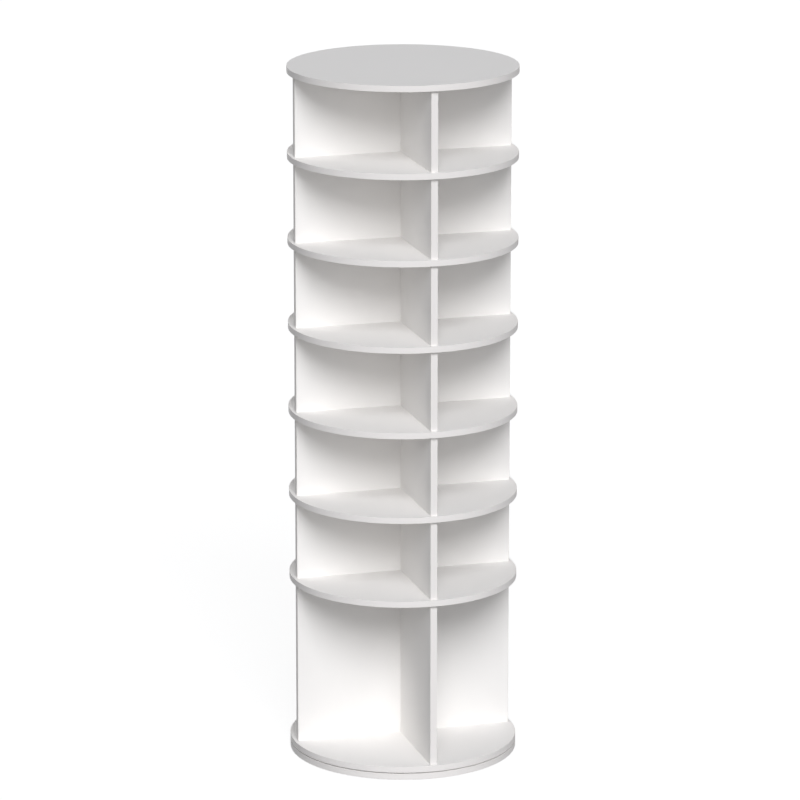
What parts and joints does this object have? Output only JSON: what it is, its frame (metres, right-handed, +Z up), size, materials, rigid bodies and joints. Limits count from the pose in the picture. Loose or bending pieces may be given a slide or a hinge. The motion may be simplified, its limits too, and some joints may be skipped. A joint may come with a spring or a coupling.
{
  "type": "rotating shoe tower",
  "caption": "Free-standing round shoe tower: tiers of open compartments between round boards and a crossed set of dividers, turning on a ball-bearing base.",
  "frame": {"origin": "on the floor, under the centre of the round base board", "axes": "+Z up along the turning axis; the long dividers lie along X and the front dividers point to -Y at rest"},
  "size_m": [0.5999, 0.6, 1.839],
  "materials": {
    "white_laminate": "matte white melamine on particle board",
    "white_edge_band": "satin white edge banding",
    "white_cap": "moulded white plastic",
    "rubber_pad": "matte black",
    "turntable_aluminium": "turned",
    "ball_steel": "polished",
    "cage_nylon": "natural nylon",
    "cam_zinc": "die-cast zinc",
    "zinc_plated_steel": "bright zinc plated",
    "beech_dowel": "plain beech"
  },
  "bodies": {
    "base": {"base_board": "white_laminate", "base_board_edge_band": "white_edge_band", "foot_pads": "rubber_pad", "lower_ring_screws": "zinc_plated_steel", "lower_turntable_ring": "turntable_aluminium"},
    "tower": {"cam_cover_caps": "white_cap", "cam_locks": "cam_zinc", "centre_dowels": "beech_dowel", "front_divider_1": "white_laminate", "front_divider_2": "white_laminate", "front_divider_3": "white_laminate", "front_divider_4": "white_laminate", "front_divider_5": "white_laminate", "front_divider_6": "white_laminate", "front_divider_7": "white_laminate", "front_divider_edge_bands": "white_edge_band", "long_divider_1": "white_laminate", "long_divider_2": "white_laminate", "long_divider_3": "white_laminate", "long_divider_4": "white_laminate", "long_divider_5": "white_laminate", "long_divider_6": "white_laminate", "long_divider_7": "white_laminate", "long_divider_edge_bands": "white_edge_band", "rear_divider_1": "white_laminate", "rear_divider_2": "white_laminate", "rear_divider_3": "white_laminate", "rear_divider_4": "white_laminate", "rear_divider_5": "white_laminate", "rear_divider_6": "white_laminate", "rear_divider_7": "white_laminate", "rear_divider_edge_bands": "white_edge_band", "shelf_1": "white_laminate", "shelf_1_edge_band": "white_edge_band", "shelf_2": "white_laminate", "shelf_2_edge_band": "white_edge_band", "shelf_3": "white_laminate", "shelf_3_edge_band": "white_edge_band", "shelf_4": "white_laminate", "shelf_4_edge_band": "white_edge_band", "shelf_5": "white_laminate", "shelf_5_edge_band": "white_edge_band", "shelf_6": "white_laminate", "shelf_6_edge_band": "white_edge_band", "shelf_cam_bolts": "zinc_plated_steel", "shelf_dowels": "beech_dowel", "top_board": "white_laminate", "top_board_cam_bolts": "zinc_plated_steel", "top_board_dowels": "beech_dowel", "top_board_edge_band": "white_edge_band", "turning_board": "white_laminate", "turning_board_cam_bolts": "zinc_plated_steel", "turning_board_dowels": "beech_dowel", "turning_board_edge_band": "white_edge_band", "upper_ring_screws": "zinc_plated_steel", "upper_turntable_ring": "turntable_aluminium"},
    "ball_cage": {"ball_cage": "cage_nylon", "turntable_balls": "ball_steel"}
  },
  "joints": [
    {"name": "tower_turn", "type": "hinge", "parent": "base", "child": "tower", "pos_m": [0, 0, 0.01675], "axis": [0, 0, 1], "continuous": true},
    {"name": "cage_turn", "type": "hinge", "parent": "base", "child": "ball_cage", "pos_m": [0, 0, 0.01675], "axis": [0, 0, 1], "continuous": true}
  ],
  "couplings": [
    {"joint": "cage_turn", "follows": "tower_turn", "ratio": 0.5}
  ]
}
